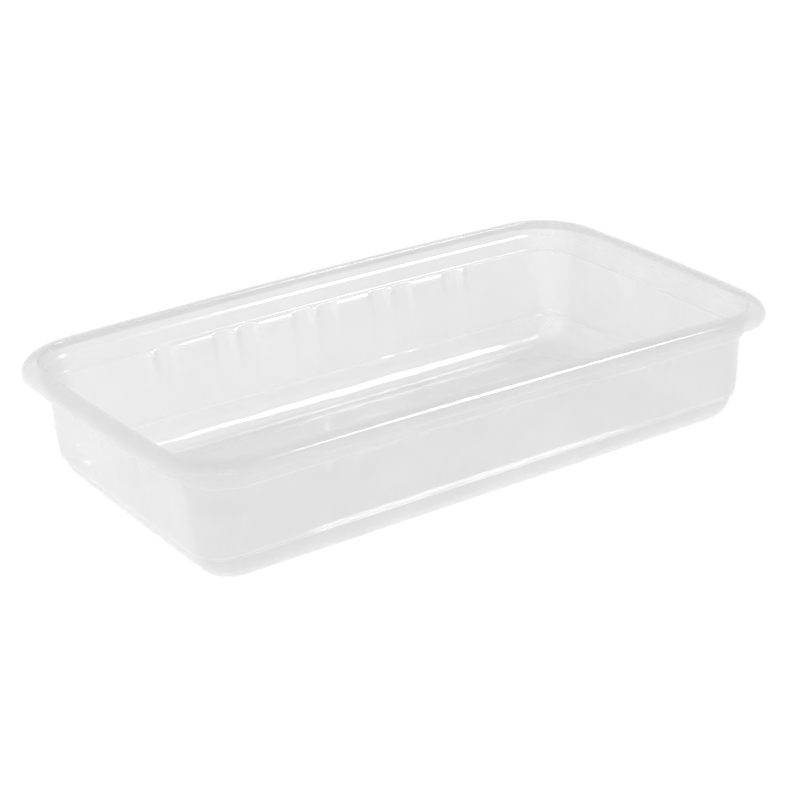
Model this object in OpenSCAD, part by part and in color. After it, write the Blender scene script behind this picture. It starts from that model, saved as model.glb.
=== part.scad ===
// Clear rectangular thermoformed bowl: one plastic sheet drawn into a shallow
// tray with a rolled lip, two bands under it, fluted walls, a rounded base and
// a raised panel in its floor.

/* [Rim] */
// Overall length over the lip
rim_length = 242; // [200:1:300]
// Overall width over the lip
rim_width = 135; // [110:1:180]
// Height of the crest above the table
height = 47; // [42:0.5:60]
// Corner radius of the crest's inner edge, seen from above
crest_corner_r = 17.5; // [15:0.5:24]
// Width of the lip outside the crest's inner edge
lip_width = 6; // [5:0.25:9]
// Drop from the crest to the lip's lower edge
lip_drop = 4.75; // [3.75:0.25:6]
// Radius of the lip's outer roll
lip_round = 3.2; // [2:0.1:3.4]
// Fall of the lip's top towards its roll
lip_fall = 0.3; // [0:0.05:0.35]
// Radius of the crest's inner edge
crest_round = 0.9; // [0.8:0.1:1.4]

/* [Sheet] */
// Thickness of the plastic sheet
sheet = 0.5; // [0.3:0.05:0.7]

/* [Bands under the lip] */
// Depth of the band ledge below the crest
band_depth = 5.3; // [4:0.1:7]
// Width of the band ledge
band_ledge = 0.9; // [0.5:0.1:1.5]
// Depth of the shoulder below the crest
shoulder_depth = 11.1; // [9:0.1:14]
// Width of the shoulder ledge
shoulder_ledge = 1.1; // [0.7:0.1:2]
// Draft angle of the two bands, in degrees
band_draft = 3; // [1:0.5:5]

/* [Body] */
// Corner radius of the body's inside, seen from above
body_corner_r = 19; // [18:0.5:22]
// Radius of the flat floor's corners
floor_corner_r = 0.9; // [0.9:0.1:2]
// Height of the foot ledge above the table
foot_height = 10.4; // [9.9:0.1:13]
// Step in the corners at the foot ledge
corner_step = 0.5; // [0.3:0.1:0.8]
// Width of the foot ledge under the lands
foot_ledge = 1; // [0.5:0.1:1.8]
// Radius between the base's sides and the floor
base_round = 8.5; // [6:0.1:9.1]

/* [Floor panel] */
// How far the floor's middle panel is raised
panel_rise = 2.4; // [0.8:0.1:2.5]
// Width of the panel's sloping edge
panel_slope = 3; // [3:0.25:6]
// Flat ring left between the base's curve and the panel
panel_margin = 4; // [2:0.25:8]
// Corner radius of the panel's foot, seen from above
panel_corner_r = 14; // [10:0.5:20]

/* [Lands and flutes] */
// Width and height of the chamfer that starts each land
land_chamfer = 2.25; // [1.8:0.05:2.8]
// Draft angle of the lands on the long walls, in degrees
land_draft = 7.6; // [5:0.1:9]
// Draft angle of the lands on the short walls, in degrees
end_draft = 2.5; // [2:0.1:9]
// Radius of a flute
flute_r = 5.5; // [5:0.25:8]
// Depth of a flute at the top of the lands
flute_depth_top = 1.5; // [1.4:0.05:1.8]
// Depth of a flute at the foot ledge
flute_depth_foot = 0.9; // [0.8:0.05:1.6]
// Distance between the two flutes of a pair
flute_spacing = 10.6; // [10:0.2:13]
// Distance from one pair of flutes to the next
pair_pitch = 34; // [30:0.5:45]
// Plain stretch kept at each end of a wall
plain_end = 4; // [1:0.5:6]

/* [Hidden] */
$fn = 64;

// Overlap that joins one solid form to the next, out of sight
lap = 0.6;
// Flat steps in the larger and the smaller arcs of the sections
arc_steps = 6;
small_arc_steps = 4;

shoulder_z = height - shoulder_depth;
band_z = height - band_depth;

// Insets from the crest's inner edge, down the inside
band_low_inset = (band_depth - crest_round) * tan(band_draft);
band_top_inset = band_low_inset + band_ledge;
shoulder_inset = band_top_inset + (shoulder_depth - band_depth) * tan(band_draft);
body_inset = shoulder_inset + shoulder_ledge;

// Half sizes of the crest's inner edge and of the body's inside
crest_half_l = rim_length / 2 - lip_width;
crest_half_w = rim_width / 2 - lip_width;
body_half_l = crest_half_l - body_inset;
body_half_w = crest_half_w - body_inset;

// Places on a wall's land, as distances inwards from the body's inside
land_top_z = shoulder_z - land_chamfer;
function land_foot(draft) = land_chamfer + (land_top_z - foot_height) * tan(draft);
function base_inset(draft) = land_foot(draft) + foot_ledge;

// The corners' large rounding, above and below the foot ledge
fillet_r = body_corner_r - floor_corner_r;
foot_drop = sheet + fillet_r - foot_height;
foot_reach = floor_corner_r + sqrt(pow(fillet_r, 2) - pow(foot_drop, 2));
lower_fillet_r = fillet_r - corner_step;
lower_drop = foot_drop - corner_step;
lower_centre = foot_reach - corner_step - sqrt(pow(lower_fillet_r, 2) - pow(lower_drop, 2));

// A flute's tilt and its centre line's distance inwards from the body's inside, at the foot
function flute_tilt(draft) =
    atan((land_foot(draft) - flute_depth_foot - land_chamfer + flute_depth_top) / (land_top_z - foot_height));
function flute_axis(draft) = land_foot(draft) - flute_depth_foot + flute_r / cos(flute_tilt(draft));
pair_half = flute_spacing / 2 + sqrt(pow(flute_r, 2) - pow(flute_r - flute_depth_top, 2));

function unit(v) = v / norm(v);
function outward(a, b) = let (d = unit(b - a)) [d[1], -d[0]];
function mitre(a, b) = (a + b) / (1 + a * b);
function reversed(path) = [for (i = [len(path) - 1:-1:0]) path[i]];

// A path moved outwards by the distance g, with mitred corners
function grown(path, g) = let (last = len(path) - 1) [
    for (i = [0:last])
        path[i] + g * mitre(
            outward(path[max(i - 1, 0)], path[max(i, 1)]),
            outward(path[min(i, last - 1)], path[min(i + 1, last)]))
];

function arc(cx, cz, r, from, to, steps) = [
    for (i = [0:steps])
        let (a = from + (to - from) * i / steps) [cx + r * cos(a), cz + r * sin(a)]
];

// How many pairs of flutes a straight wall of the given length holds
function pair_count(straight) =
    max(1, floor((straight - 2 * (pair_half + plain_end)) / pair_pitch) + 1);

// Section of the bands and the crest, measured outwards from the crest's corner centre
upper_path = concat(
    [
        [crest_corner_r - shoulder_inset, shoulder_z],
        [crest_corner_r - band_top_inset, band_z],
        [crest_corner_r - band_low_inset, band_z]
    ],
    arc(crest_corner_r + crest_round, height - crest_round, crest_round, 180, 90, small_arc_steps));

// Section of the lip, from the crest outwards and down
lip_path = concat(
    arc(crest_corner_r + lip_width - lip_round, height - lip_fall - lip_round, lip_round, 90, 0, arc_steps),
    [[crest_corner_r + lip_width, height - lip_drop]]);

// Section of the corners' inside, measured outwards from the body's corner centre
corner_path = concat(
    [[0, sheet]],
    arc(lower_centre, sheet + lower_fillet_r, lower_fillet_r, -90,
        -asin(lower_drop / lower_fillet_r), arc_steps),
    arc(floor_corner_r, sheet + fillet_r, fillet_r, -asin(foot_drop / fillet_r), 0, small_arc_steps),
    [[body_corner_r, shoulder_z + lap]]);

// Section of a wall's inside over its lands, measured from the same centre
function wall_path(draft) = concat(
    [[0, sheet]],
    arc(body_corner_r - base_inset(draft) - base_round, sheet + base_round, base_round, -90, 0, arc_steps),
    [
        [body_corner_r - base_inset(draft), foot_height],
        [body_corner_r - land_foot(draft), foot_height],
        [body_corner_r - land_chamfer, land_top_z],
        [body_corner_r, shoulder_z],
        [body_corner_r, shoulder_z + lap]
    ]);

// A corner's quarter turn, with a flat cheek of the thickness g at each of its ends
module corner(g) {
    rotate_extrude(angle = 90)
        children();
    if (g > 0) {
        translate([-g, 0, 0])
            rotate([90, 0, 90])
                linear_extrude(height = g)
                    children();
        rotate([90, 0, 0])
            linear_extrude(height = g)
                children();
    }
}

// Solid ring form: children are the sections of its corners, long walls and short walls.
// The cheek closes the sheet where the two sections part at a corner's ends.
module form(half_l, half_w, low, high, cheek) {
    for (sx = [0, 1], sy = [0, 1]) {
        mirror([sx, 0, 0])
            mirror([0, sy, 0])
                translate([half_l, half_w, 0])
                    corner(cheek)
                        children(0);
    }
    for (sy = [0, 1]) {
        mirror([0, sy, 0])
            translate([-half_l - cheek, half_w, 0])
                rotate([90, 0, 90])
                    linear_extrude(height = 2 * (half_l + cheek))
                        children(1);
    }
    for (sx = [0, 1]) {
        mirror([sx, 0, 0])
            translate([half_l, half_w + cheek, 0])
                rotate([90, 0, 0])
                    linear_extrude(height = 2 * (half_w + cheek))
                        children(2);
    }
    translate([-half_l, -half_w, low])
        cube([2 * half_l, 2 * half_w, high - low]);
}

// Section of everything under the lip's top, filled in to the centre
module upper_outer_section() {
    surface = concat(upper_path, lip_path);
    polygon(concat(
        [[0, shoulder_z - sheet]],
        grown(surface, sheet),
        reversed(lip_path),
        [[crest_corner_r + crest_round, height], [0, height]]));
}

// Section of the hollow inside the bands, open at the top
module upper_inner_section() {
    polygon(concat(
        [[0, shoulder_z]],
        upper_path,
        [[crest_corner_r + crest_round, height + lap], [0, height + lap]]));
}

// Section of the raised panel's upper face, measured from the panel's corner centre
panel_path = [
    [0, sheet + panel_rise],
    [panel_corner_r - panel_slope, sheet + panel_rise],
    [panel_corner_r, sheet]
];

module body_section(path, g) {
    polygon(concat(grown(path, g), [[0, shoulder_z + lap]]));
}

module upper_form(low, high) {
    form(crest_half_l - crest_corner_r, crest_half_w - crest_corner_r, low, high, 0) {
        children();
        children();
        children();
    }
}

module body_form(g) {
    form(body_half_l - body_corner_r, body_half_w - body_corner_r, sheet - g, shoulder_z + lap, g) {
        body_section(corner_path, g);
        body_section(wall_path(land_draft), g);
        body_section(wall_path(end_draft), g);
    }
}

// The raised panel as a solid on the table, its upper face moved down by g
module panel_form(g) {
    edge = body_corner_r - base_inset(land_draft) - base_round - panel_margin;
    half_l = body_half_l - body_corner_r + edge - panel_corner_r;
    half_w = body_half_w - body_corner_r + edge - panel_corner_r;
    form(half_l, half_w, -lap, sheet + panel_rise - g, 0) {
        panel_section(g);
        panel_section(g);
        panel_section(g);
    }
}

module panel_section(g) {
    top = grown(panel_path, g);
    foot = top[len(top) - 1];
    polygon(concat([[0, -lap]], top, [[foot[0], -lap]]));
}

// One flute of a wall whose inside lies at the distance wall along +Y
module flute(wall, draft, g) {
    reach = height;
    translate([0, wall - flute_axis(draft), foot_height])
        rotate([-flute_tilt(draft), 0, 0])
            translate([0, 0, -reach / 2])
                cylinder(r = flute_r + g, h = 1.5 * reach);
}

module flute_row(wall, straight, draft, g) {
    count = pair_count(straight);
    for (i = [0:count - 1], side = [-1, 1]) {
        translate([(i - (count - 1) / 2) * pair_pitch + side * flute_spacing / 2, 0, 0])
            flute(wall, draft, g);
    }
}

module flutes(g) {
    intersection() {
        for (turn = [0, 180]) {
            rotate([0, 0, turn])
                flute_row(body_half_w, 2 * (body_half_l - body_corner_r), land_draft, g);
            rotate([0, 0, turn + 90])
                flute_row(body_half_l, 2 * (body_half_w - body_corner_r), end_draft, g);
        }
        translate([-rim_length / 2, -rim_width / 2, foot_height - g])
            cube([rim_length, rim_width, shoulder_z + lap / 2 - foot_height + g]);
    }
}

// Everything above the table
module standing_space() {
    translate([-rim_length / 2, -rim_width / 2, 0])
        cube([rim_length, rim_width, height]);
}

module tray() {
    color([0.88, 0.9, 0.91, 0.6])
        difference() {
            union() {
                difference() {
                    union() {
                        upper_form(shoulder_z - sheet, height) upper_outer_section();
                        body_form(sheet);
                        flutes(sheet);
                    }
                    upper_form(shoulder_z, height + lap) upper_inner_section();
                    body_form(0);
                    flutes(0);
                }
                intersection() {
                    panel_form(0);
                    standing_space();
                }
            }
            panel_form(sheet);
        }
}

tray();
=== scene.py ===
import math

import bmesh
import bpy
from mathutils import Matrix, Vector, noise


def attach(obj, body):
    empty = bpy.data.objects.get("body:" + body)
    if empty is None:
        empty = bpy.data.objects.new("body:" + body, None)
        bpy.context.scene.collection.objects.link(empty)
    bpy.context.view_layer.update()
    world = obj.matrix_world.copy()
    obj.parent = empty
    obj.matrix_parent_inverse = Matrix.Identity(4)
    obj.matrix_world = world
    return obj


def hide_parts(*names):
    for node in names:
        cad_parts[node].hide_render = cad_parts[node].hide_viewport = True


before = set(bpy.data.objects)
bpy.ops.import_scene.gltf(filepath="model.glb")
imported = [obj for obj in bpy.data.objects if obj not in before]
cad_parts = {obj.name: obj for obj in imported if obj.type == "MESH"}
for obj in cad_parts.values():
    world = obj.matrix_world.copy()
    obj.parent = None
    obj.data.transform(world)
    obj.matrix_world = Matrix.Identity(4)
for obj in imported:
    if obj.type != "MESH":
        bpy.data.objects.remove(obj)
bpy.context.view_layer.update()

MM = 0.001

# Sizes of the bowl in millimetres. The rim, the bands and the panel are the solid model's.
LENGTH, WIDTH, HEIGHT = 242.0, 135.0, 47.0
# The sheet's thickness in the rim and the base, and in the stretched walls between these heights
SHEET, WALL_SHEET = 0.5, 0.4
WALL_LOW, WALL_HIGH = 4.0, HEIGHT - 9
LIP_WIDTH, LIP_DROP, LIP_ROUND, LIP_FALL = 6.0, 4.75, 3.2, 0.3
CREST_ROUND = 0.9
CREST_CORNER = 17.5
BAND_DRAFT = math.tan(math.radians(3))
BAND_Z = HEIGHT - 5.3
SHOULDER_Z = HEIGHT - 11.1
BAND_LEDGE, SHOULDER_LEDGE = 0.9, 1.1
BAND_INSET = (HEIGHT - BAND_Z - CREST_ROUND) * BAND_DRAFT
SHOULDER_INSET = BAND_INSET + BAND_LEDGE + (BAND_Z - SHOULDER_Z) * BAND_DRAFT
BODY_INSET = SHOULDER_INSET + SHOULDER_LEDGE
# Height of the foot ledge, its width, and the width and height of the base's curve under it
FOOT_Z = 10.4
SIDE_LEDGE, END_LEDGE = 0.7, 1.3
SIDE_ROUND, END_ROUND, BASE_ROUND = 9.0, 11.0, 9.0
# Insets of the long and of the short walls from the crest, at the foot ledge
SIDE_FOOT, END_FOOT = 7.3, 4.3
# Corner radii in plan, at the foot ledge and at the table
FOOT_CORNER, FLOOR_CORNER = 9.5, 6.5
# How deep the lands' sloping tops are, how fast they fade downwards, and what is left at their foot
FAR_CHAMFER, NEAR_CHAMFER, END_CHAMFER = 1.7, 0.4, 0.35
LAND_FADE, LAND_FOOT = 5, 0.08
# Middle and half width of each land on half a wall, the width of a land's soft edge, and
# the longest steps between columns of points on such an edge and elsewhere
SIDE_LANDS = ((0.0, 1.65), (17.0, 8.05), (34.0, 1.65), (51.0, 8.05), (68.0, 1.65))
END_LANDS = ((0.0, 8.05), (17.0, 1.65))
LAND_EDGE = 3.2
EDGE_STEP, PLAIN_STEP = 0.52, 2.6
# Plain stretches of the walls begin here, and take up what the corners' radii change
SIDE_PLAIN, END_PLAIN = 78.0, 27.0
# Half sizes of the raised panel's foot, its corner radius, its rise and its edge's width
PANEL_L, PANEL_W, PANEL_CORNER = 92.6, 39.1, 14.0
PANEL_RISE, PANEL_SLOPE = 2.4, 3.0

CREST_L, CREST_W = LENGTH / 2 - LIP_WIDTH, WIDTH / 2 - LIP_WIDTH
UPPER_X, UPPER_Y = CREST_L - CREST_CORNER, CREST_W - CREST_CORNER

# How far the free rim leans out and rises between its corners, and stands in or
# down at them, and how far it is twisted out of level
SIDE_OUT, SIDE_IN = 0.75, 0.5
END_OUT, END_IN = 2.33, 1.0
BOW_UP, BOW_DOWN = 1.42, 0.5
TWIST = 1.35
# How far the base stands to the right of the rim, and how the lip's nearest right corner droops
LEAN = 1.1
CORNER_OUT, CORNER_DROOP = 1.5, 0.8
# Waves in the sheet: their size in millimetres, their frequency and their place in the noise
BROAD_WAVE = (0.16, 0.045, (0, 0, 0))
FINE_WAVE = (0.05, 0.16, (7, 3, 1))
BASE_WAVE = (0.14, 0.13, (2, 9, 5))
PANEL_CROWN, PANEL_WAVE = 0.1, 0.25

# Depths of the wall's rows below the shoulder, closest where the lands' tops are
WALL_DROPS = (0.35, 0.6, 0.9, 1.2, 1.5, 1.8, 2.1, 2.4, 2.7, 3.1, 4.0, 6.5, 10.0, 14.0, 18.0, 21.5, 23.6, 24.6)
LIP_STEPS, CREST_STEPS, BASE_STEPS, CORNER_STEPS = 7, 6, 12, 18

# Lamps: the way to each from the bowl, its distance and width in metres, and its radiance
KEY = ((0.533, -0.33, 0.78), 1.2, 0.38, 10.0)
FILL = ((-0.6, -0.1, 0.8), 1.6, 0.9, 1.4)

# The plastic: its tone in dark and in pale clouds, its roughness, how dense a face of the sheet
# looks from the front and edge on, and the share of that which soft light meets
DARK_TONE, PALE_TONE = (0.775, 0.766, 0.775, 1), (0.82, 0.811, 0.82, 1)
ROUGHNESS = (0.06, 0.14)
DENSITY, DENSITY_FOR_LIGHT = (0.33, 0.9), 0.3

# The white surroundings: the backdrop's strength as a light, and the floor's tone, glow, half
# width and depth under the bowl in metres
BACKDROP = 0.7
FLOOR_TONE, FLOOR_GLOW, FLOOR_HALF, FLOOR_DEPTH = 0.4, 0.78, 12.0, 0.0002

# The camera found from the photograph: the picture's size, the focal length and the optical
# middle in pixels, angles in degrees, and the point looked at and its distance in millimetres
PHOTO_WIDTH, PHOTO_HEIGHT = 788.0, 787.0
FOCAL, MIDDLE = 1937.67, (437.63, 402.75)
AZIMUTH, ELEVATION, ROLL = -35.471, 23.187, -0.972
AIM, DISTANCE = (-12.23, -36.68, 33.04), 639.84


def soft_min(a, b, k):
    """The smaller of two values, rounded over where they differ by less than k."""
    h = min(1.0, max(0.0, 0.5 + 0.5 * (b - a) / k))
    return b * (1 - h) + a * h - k * h * (1 - h)


def smooth(t):
    """A soft rise from 0 to 1 as t does."""
    t = min(1.0, max(0.0, t))
    return t * t * (3 - 2 * t)


def softened(points, reach, steps):
    """The path with each inner corner turned into a small curve."""
    out = [points[0]]
    for i in range(1, len(points) - 1):
        a, b, c = (Vector(points[k]) for k in (i - 1, i, i + 1))
        r = min(reach, (a - b).length * 0.46, (c - b).length * 0.46)
        p = b + (a - b).normalized() * r
        q = b + (c - b).normalized() * r
        for k in range(steps + 1):
            t = k / steps
            out.append(tuple(p * (1 - t) ** 2 + b * 2 * t * (1 - t) + q * t * t))
    out.append(points[-1])
    return out


def between(a, b, share):
    return a + (b - a) * share


def upper_rows():
    """Inset and height of the rows from the lip's lower edge to the shoulder."""
    lip = [(-LIP_WIDTH, HEIGHT - LIP_DROP)]
    for i in range(LIP_STEPS + 1):
        a = math.radians(i * 90 / LIP_STEPS)
        lip.append((-LIP_WIDTH + LIP_ROUND * (1 - math.cos(a)),
                    HEIGHT - LIP_FALL - LIP_ROUND * (1 - math.sin(a))))
    crest = []
    for i in range(CREST_STEPS + 1):
        a = math.radians(90 - i * 90 / CREST_STEPS)
        crest.append((CREST_ROUND * (math.cos(a) - 1), HEIGHT + CREST_ROUND * (math.sin(a) - 1)))
    bands = softened([(0.0, HEIGHT - CREST_ROUND - 0.05), (BAND_INSET, BAND_Z + 0.4),
                      (BAND_INSET + BAND_LEDGE, BAND_Z - 0.35), (SHOULDER_INSET, SHOULDER_Z + 0.45),
                      (BODY_INSET - 0.05, SHOULDER_Z - 0.2), (BODY_INSET + 0.03, SHOULDER_Z - 0.3)], 0.3, 3)
    return lip + crest + bands[1:-1]


def relief(drop, foot_inset, chamfer):
    """How far a land stands in from the plain wall, at a depth below the shoulder."""
    fall = SHOULDER_Z - FOOT_Z
    slope = (foot_inset - BODY_INSET) / fall
    fade = max(0.0, 1 - (drop - chamfer) / (fall - chamfer))
    face = chamfer * fade ** LAND_FADE * (1 - slope) + LAND_FOOT * (1 - min(1.0, fade))
    return max(0.0, soft_min(drop * (1 - slope), face, 1.0))


def rings():
    """Every row of the upper face: half length, half width, corner radius, height and the
    relief of the lands on the far, near and short walls."""
    out = [(CREST_L - i, CREST_W - i, CREST_CORNER - i, z, 0.0, 0.0, 0.0) for i, z in upper_rows()]
    body_corner = CREST_CORNER - BODY_INSET
    for drop in WALL_DROPS:
        share = drop / (SHOULDER_Z - FOOT_Z)
        out.append((CREST_L - between(BODY_INSET, END_FOOT, share), CREST_W - between(BODY_INSET, SIDE_FOOT, share),
                    between(body_corner, FOOT_CORNER, smooth(share * 1.1)), SHOULDER_Z - drop,
                    relief(drop, SIDE_FOOT, FAR_CHAMFER), relief(drop, SIDE_FOOT, NEAR_CHAMFER),
                    relief(drop, END_FOOT, END_CHAMFER)))
    ledge = softened([(0.0, FOOT_Z + 1.2), (0.0, FOOT_Z + 0.45), (1.0, FOOT_Z - 0.35), (1.0, FOOT_Z - 0.8)], 0.4, 4)
    for share, z in ledge[1:-1]:
        left = LAND_FOOT * (1 - share)
        out.append((CREST_L - END_FOOT - END_LEDGE * share, CREST_W - SIDE_FOOT - SIDE_LEDGE * share,
                    FOOT_CORNER, z, left, left, left))
    for i in range(BASE_STEPS + 1):
        a = math.radians(90 * i / BASE_STEPS)
        share = 1 - math.cos(a)
        out.append((CREST_L - END_FOOT - END_LEDGE - END_ROUND * share,
                    CREST_W - SIDE_FOOT - SIDE_LEDGE - SIDE_ROUND * share,
                    between(FOOT_CORNER, FLOOR_CORNER, share), SHEET + BASE_ROUND * (1 - math.sin(a)), 0.0, 0.0, 0.0))
    slope = softened([(-3.0, 0.0), (0.0, 0.0), (PANEL_SLOPE, PANEL_RISE), (PANEL_SLOPE + 4.0, PANEL_RISE)], 1.2, 4)
    for inset, rise in slope[1:]:
        out.append((PANEL_L - inset, PANEL_W - inset, PANEL_CORNER - inset, SHEET + rise, 0.0, 0.0, 0.0))
    return out


def pad(t, lands):
    """1 on a land and 0 beside it, with soft edges."""
    return max(smooth(0.5 + (half - abs(t - middle)) / LAND_EDGE) for middle, half in lands)


def stations(end, lands):
    """Places along half a wall, close together at the lands' edges."""
    edges = sorted(abs(middle + side * half) for middle, half in lands for side in (-1, 1))
    out = [0.0]
    while out[-1] < end - 1e-6:
        v = out[-1]
        gap = min((e - v for e in edges if e > v - LAND_EDGE / 2 - 0.01), default=99.0)
        step = EDGE_STEP if gap < LAND_EDGE / 2 + 0.05 else min(PLAIN_STEP, gap - LAND_EDGE / 2)
        out.append(min(end, v + step))
    return out


def drawn(t, plain, end, new_end):
    """The place t on a wall whose plain stretch is drawn out to a new end."""
    if new_end < plain + 4:
        return t * new_end / end
    return t if t <= plain else plain + (t - plain) * (new_end - plain) / (end - plain)


def quadrant(near):
    """One quarter of the upper face as columns of points, from the long side's middle to the short side's."""
    rows = rings()
    places = [("side", x) for x in stations(UPPER_X, SIDE_LANDS)]
    places += [("corner", math.radians(90 - 90 * i / CORNER_STEPS)) for i in range(1, CORNER_STEPS)]
    places += [("end", y) for y in reversed(stations(UPPER_Y, END_LANDS))]
    columns = []
    for kind, t in places:
        column = []
        for half_l, half_w, r, z, far_relief, near_relief, end_relief in rows:
            if kind == "side":
                inset = (near_relief if near else far_relief) * pad(t, SIDE_LANDS)
                column.append((drawn(t, SIDE_PLAIN, UPPER_X, half_l - r), half_w - inset, z))
            elif kind == "end":
                inset = end_relief * pad(t, END_LANDS)
                column.append((half_l - inset, drawn(t, END_PLAIN, UPPER_Y, half_w - r), z))
            else:
                column.append((half_l - r + r * math.cos(t), half_w - r + r * math.sin(t), z))
        x, y, top = column[-1]
        spine = min(x, PANEL_L - PANEL_W)
        for share in (0.35, 0.7, 1.0):
            column.append((between(x, spine, share), between(y, 0.0, share), top))
        columns.append(column)
    return columns


def all_columns():
    far, near = quadrant(False), quadrant(True)
    turn = [(far, 1, 1, False), (near, 1, -1, True), (near, -1, -1, False), (far, -1, 1, True)]
    out = []
    for cols, sx, sy, back in turn:
        part = [[(sx * x, sy * y, z) for x, y, z in c] for c in cols]
        if back:
            part.reverse()
        out += part[:-1]
    return out


def rippled(q, wave):
    size, frequency, place = wave
    return size * noise.noise(q * frequency + Vector(place))


def settled(p):
    """A point of the ideal form moved as the thin formed sheet is: bowed sides and faint waves."""
    x, y, z = p
    up = max(0.0, z / HEIGHT)
    u, v = x / (LENGTH / 2), y / (WIDTH / 2)
    side, end = 1 - u * u, 1 - v * v
    x += up * u * (END_OUT * end - END_IN)
    y += up * v * (SIDE_OUT * side - SIDE_IN)
    z += up * (BOW_UP * side * abs(v) + TWIST * u * v - BOW_DOWN)
    corner = smooth(u * 4 - 3) * smooth(-v * 3 - 2) * smooth((z - HEIGHT + 8) / 4)
    x += LEAN * (1 - up) + CORNER_OUT * corner
    z -= CORNER_DROOP * corner
    wall = smooth((z - 1.0) / 3) * smooth((HEIGHT - 8 - z) / 6)
    if wall > 0:
        q = Vector((x, y, z * 0.6))
        wave = rippled(q, BROAD_WAVE) + rippled(q, FINE_WAVE) + smooth((9.5 - z) / 2) * rippled(q, BASE_WAVE)
        x -= wave * wall * x / (LENGTH / 2)
        y -= wave * wall * math.copysign(min(1.0, abs(y) / 50), y)
    if z > 1.2 and abs(x) < PANEL_L and abs(y) < PANEL_W:
        inside = smooth((PANEL_L - abs(x)) / 8) * smooth((PANEL_W - abs(y)) / 6)
        z += inside * (PANEL_CROWN + PANEL_WAVE * noise.noise(Vector((x * 0.03, y * 0.05, 4.2))))
    return Vector((x, y, z)) * MM


def thickness(height):
    return WALL_SHEET if WALL_LOW <= height <= WALL_HIGH else SHEET


def make_bowl():
    """The sheet as one closed mesh: its upper face, the same face moved inwards, and the lip's edge."""
    columns = all_columns()
    n, m = len(columns), len(columns[0])
    bm = bmesh.new()
    grid = [[bm.verts.new(settled(p)) for p in c] for c in columns]
    for i in range(n):
        a, b = grid[i], grid[(i + 1) % n]
        for k in range(m - 1):
            bm.faces.new((a[k], a[k + 1], b[k + 1], b[k]))
    bm.normal_update()
    turned = grid[0][m - 3].normal.z < 0
    if turned:
        bmesh.ops.reverse_faces(bm, faces=bm.faces)
        bm.normal_update()
    under = []
    for c in grid:
        ways = [v.normal.copy() for v in c[:-1]] + [Vector((0, 0, 1))]
        under.append([bm.verts.new(v.co - way * thickness(v.co.z / MM) * MM) for v, way in zip(c, ways)])
    for i in range(n):
        a, b = grid[i], grid[(i + 1) % n]
        c, d = under[i], under[(i + 1) % n]
        for k in range(m - 1):
            bm.faces.new((c[k], c[k + 1], d[k + 1], d[k]) if turned else (c[k], d[k], d[k + 1], c[k + 1]))
        bm.faces.new((a[0], c[0], d[0], b[0]) if turned else (a[0], b[0], d[0], c[0]))
    for v in bm.verts:
        v.co.z = max(0.0, v.co.z)
    bmesh.ops.remove_doubles(bm, verts=[c[-1] for c in grid] + [c[-1] for c in under], dist=2e-6)
    bmesh.ops.dissolve_degenerate(bm, edges=bm.edges, dist=1e-7)
    bmesh.ops.recalc_face_normals(bm, faces=bm.faces)
    mesh = bpy.data.meshes.new("bowl_sheet")
    bm.to_mesh(mesh)
    bm.free()
    for p in mesh.polygons:
        p.use_smooth = True
    obj = bpy.data.objects.new("bowl_sheet", mesh)
    bpy.context.scene.collection.objects.link(obj)
    return obj


def node(tree, kind, **values):
    """A new shader node with its settings."""
    n = tree.nodes.new(kind)
    for k, v in values.items():
        setattr(n, k, v)
    return n


def ranged(tree, source, low, high):
    """The source's 0 to 1, mapped to the range from low to high."""
    n = node(tree, "ShaderNodeMapRange")
    n.inputs["To Min"].default_value = low
    n.inputs["To Max"].default_value = high
    tree.links.new(source, n.inputs["Value"])
    return n.outputs["Result"]


def maths(tree, operation, a, b):
    n = node(tree, "ShaderNodeMath", operation=operation)
    tree.links.new(a, n.inputs[0])
    tree.links.new(b, n.inputs[1])
    return n.outputs[0]


def clouds(tree, coords, scale, detail):
    n = node(tree, "ShaderNodeTexNoise")
    n.inputs["Scale"].default_value = scale
    n.inputs["Detail"].default_value = detail
    tree.links.new(coords, n.inputs["Vector"])
    return n.outputs["Fac"]


def clear_plastic():
    m = bpy.data.materials.new("clear_sheet")
    m.use_nodes = True
    t = m.node_tree
    shader = t.nodes["Principled BSDF"]
    shader.inputs["IOR"].default_value = 1.5
    shader.inputs["Specular IOR Level"].default_value = 1.0
    shader.inputs["Coat Weight"].default_value = 1.0
    shader.inputs["Coat Roughness"].default_value = 0.03
    coords = node(t, "ShaderNodeTexCoord").outputs["Object"]

    # Faint clouds in the tone and the gloss
    haze = clouds(t, coords, 35.0, 4.0)
    tone = node(t, "ShaderNodeValToRGB")
    tone.color_ramp.elements[0].position = 0.35
    tone.color_ramp.elements[0].color = DARK_TONE
    tone.color_ramp.elements[1].position = 0.7
    tone.color_ramp.elements[1].color = PALE_TONE
    t.links.new(haze, tone.inputs["Fac"])
    t.links.new(tone.outputs["Color"], shader.inputs["Base Color"])
    t.links.new(ranged(t, haze, *ROUGHNESS), shader.inputs["Roughness"])

    # The sheet is denser where it is seen edge on, and lets most of the soft light through
    weight = node(t, "ShaderNodeLayerWeight")
    weight.inputs["Blend"].default_value = 0.35
    alpha = ranged(t, weight.outputs["Facing"], *DENSITY)
    path = node(t, "ShaderNodeLightPath")
    soft_light = maths(t, "MAXIMUM", path.outputs["Is Shadow Ray"], path.outputs["Is Diffuse Ray"])
    t.links.new(maths(t, "MULTIPLY", alpha, ranged(t, soft_light, 1.0, DENSITY_FOR_LIGHT)), shader.inputs["Alpha"])

    bump = node(t, "ShaderNodeBump")
    bump.inputs["Strength"].default_value = 0.12
    bump.inputs["Distance"].default_value = 0.0004
    t.links.new(clouds(t, coords, 160.0, 2.0), bump.inputs["Height"])
    t.links.new(bump.outputs["Normal"], shader.inputs["Normal"])
    return m


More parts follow.
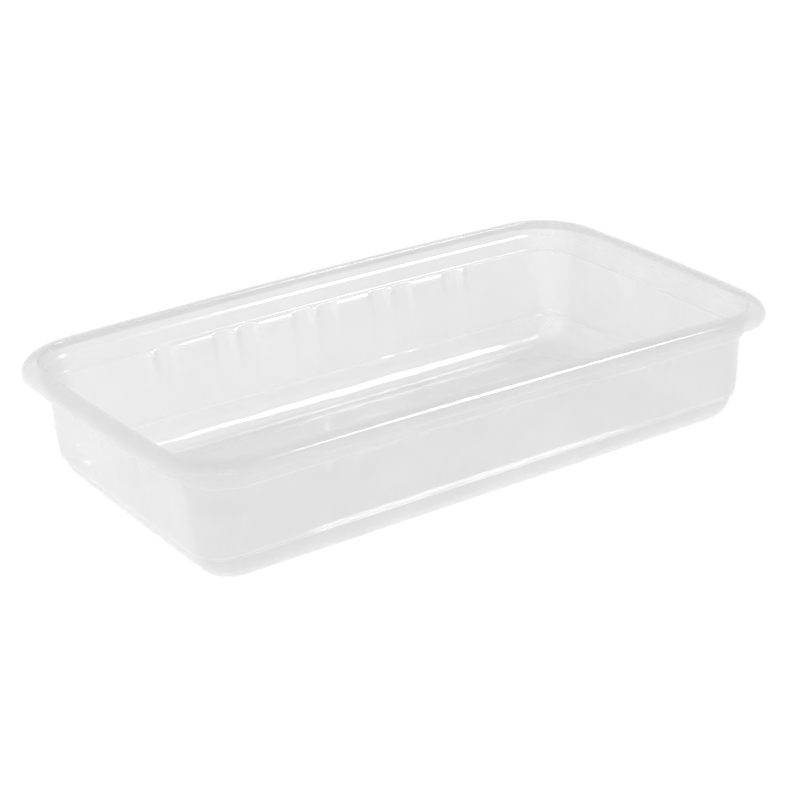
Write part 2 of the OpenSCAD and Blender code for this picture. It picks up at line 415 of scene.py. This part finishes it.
def seen_white(tree, share):
    """1 for what the camera, a reflection or clear matter looks at directly, else share."""
    path = node(tree, "ShaderNodeLightPath").outputs
    mirrored = maths(tree, "MAXIMUM", path["Is Camera Ray"], path["Is Glossy Ray"])
    return ranged(tree, maths(tree, "MAXIMUM", mirrored, path["Is Transmission Ray"]), share, 1.0)


def make_world():
    world = bpy.data.worlds.new("studio")
    world.use_nodes = True
    t = world.node_tree
    back = t.nodes["Background"]
    back.inputs["Color"].default_value = (1, 1, 1, 1)
    t.links.new(seen_white(t, BACKDROP), back.inputs["Strength"])
    bpy.context.scene.world = world


def make_floor():
    bm = bmesh.new()
    corners = ((-1, -1), (1, -1), (1, 1), (-1, 1))
    bm.faces.new([bm.verts.new((x * FLOOR_HALF, y * FLOOR_HALF, 0)) for x, y in corners])
    mesh = bpy.data.meshes.new("floor")
    bm.to_mesh(mesh)
    bm.free()
    obj = bpy.data.objects.new("floor", mesh)
    obj.location.z = -FLOOR_DEPTH
    bpy.context.scene.collection.objects.link(obj)
    m = bpy.data.materials.new("floor")
    m.use_nodes = True
    t = m.node_tree
    t.nodes.clear()
    out = node(t, "ShaderNodeOutputMaterial")
    add = node(t, "ShaderNodeAddShader")
    matt = node(t, "ShaderNodeBsdfDiffuse")
    matt.inputs["Color"].default_value = (FLOOR_TONE, FLOOR_TONE, FLOOR_TONE, 1)
    glow = node(t, "ShaderNodeEmission")
    glow.inputs["Color"].default_value = (1, 1, 1, 1)
    scale = node(t, "ShaderNodeMath", operation="MULTIPLY")
    scale.inputs[1].default_value = FLOOR_GLOW
    t.links.new(seen_white(t, 1.0), scale.inputs[0])
    t.links.new(scale.outputs[0], glow.inputs["Strength"])
    t.links.new(matt.outputs[0], add.inputs[0])
    t.links.new(glow.outputs[0], add.inputs[1])
    t.links.new(add.outputs[0], out.inputs["Surface"])
    mesh.materials.append(m)
    return obj


def softbox(name, way, distance, width, radiance):
    """A square lamp seen from the bowl in the direction way, facing it."""
    data = bpy.data.lights.new(name, "AREA")
    data.shape = "SQUARE"
    data.size = width
    data.energy = radiance * math.pi * width * width
    obj = bpy.data.objects.new(name, data)
    way = Vector(way).normalized()
    obj.location = way * distance
    obj.rotation_mode = "QUATERNION"
    obj.rotation_quaternion = way.to_track_quat("Z", "Y")
    bpy.context.scene.collection.objects.link(obj)
    return obj


def make_camera():
    azimuth, elevation, roll = (math.radians(a) for a in (AZIMUTH, ELEVATION, ROLL))
    back = Vector((math.sin(azimuth) * math.cos(elevation), -math.cos(azimuth) * math.cos(elevation),
                   math.sin(elevation)))
    right = (-back).cross(Vector((0, 0, 1))).normalized()
    up = right.cross(-back)
    right, up = (math.cos(roll) * right + math.sin(roll) * up, -math.sin(roll) * right + math.cos(roll) * up)
    data = bpy.data.cameras.new("camera")
    data.lens = FOCAL / PHOTO_WIDTH * data.sensor_width
    data.shift_x = -(MIDDLE[0] - PHOTO_WIDTH / 2) / PHOTO_WIDTH
    data.shift_y = (MIDDLE[1] - PHOTO_HEIGHT / 2) / PHOTO_WIDTH
    data.clip_start, data.clip_end = 0.01, 100
    obj = bpy.data.objects.new("camera", data)
    place = Matrix((right, up, back)).transposed().to_4x4()
    place.translation = (Vector(AIM) + back * DISTANCE) * MM
    obj.matrix_world = place
    bpy.context.scene.collection.objects.link(obj)
    bpy.context.scene.camera = obj


bowl = make_bowl()
bowl.data.materials.append(clear_plastic())
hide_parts("tray")
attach(bowl, "root")

make_world()
make_floor()
key = softbox("key", *KEY)
key.visible_diffuse = False
fill = softbox("fill", *FILL)
fill.visible_glossy = False
make_camera()

bpy.context.scene.view_settings.view_transform = "Standard"
